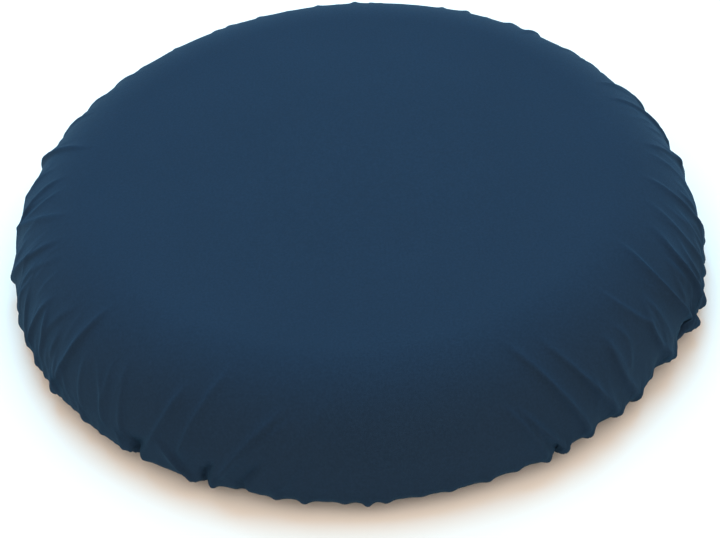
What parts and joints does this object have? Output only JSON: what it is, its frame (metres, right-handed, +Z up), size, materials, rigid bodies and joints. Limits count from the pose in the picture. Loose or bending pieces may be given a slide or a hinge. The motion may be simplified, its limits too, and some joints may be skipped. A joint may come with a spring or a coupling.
{
  "type": "round seat cushion with fitted cover",
  "caption": "Round padded seat cushion in a one-piece navy cloth cover, drawn in underneath by an elastic hem.",
  "frame": {"origin": "on the cushion's axis, at the plane it lies on", "axes": "+Z up through the cushion, towards the seat; -Y is the side the picture looks from"},
  "size_m": [0.42, 0.42, 0.0715],
  "materials": {
    "cover_cloth": "matte navy plain-woven polycotton",
    "navy_thread": "navy sewing thread",
    "elastic": "woven flat elastic",
    "lining": "unbleached cotton lining",
    "pale_thread": "pale sewing thread",
    "wadding": "polyester fibre wadding",
    "foam": "open-cell polyurethane foam",
    "label": "blank satin care label"
  },
  "bodies": {
    "root": {"foam_core": "foam", "wadding_top": "wadding", "wadding_side": "wadding", "lining_top": "lining", "lining_side": "lining", "lining_bottom": "lining", "lining_upper_seam": "pale_thread", "lining_lower_seam": "pale_thread", "cover_cloth": "cover_cloth", "hem_elastic": "elastic", "elastic_tack": "pale_thread", "hem_stitch_inner": "navy_thread", "hem_stitch_outer": "navy_thread", "care_label": "label", "label_stitch": "navy_thread"}
  },
  "joints": []
}
